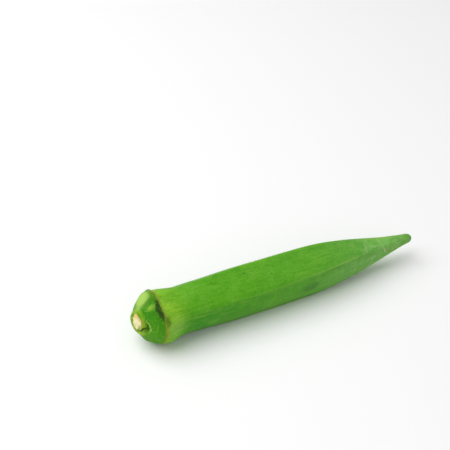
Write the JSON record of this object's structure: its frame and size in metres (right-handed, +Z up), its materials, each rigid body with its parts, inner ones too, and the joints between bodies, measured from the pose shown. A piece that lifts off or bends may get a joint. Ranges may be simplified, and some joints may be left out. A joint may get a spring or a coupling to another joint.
{
  "type": "okra pod",
  "caption": "Long tapering green okra pod with ridged sides, a ring scar, a folded cap and a slanted, nicked stem cut, lying on its side.",
  "frame": {"origin": "on the surface that the pod lies on, under the middle of its bounding box", "axes": "+X from the cut stem to the tip, +Z up"},
  "size_m": [0.1198, 0.0212, 0.021],
  "materials": {
    "okra_skin": "green pod skin, softly satin, with fine hairs"
  },
  "bodies": {
    "root": {"okra_pod": "okra_skin"}
  },
  "joints": []
}
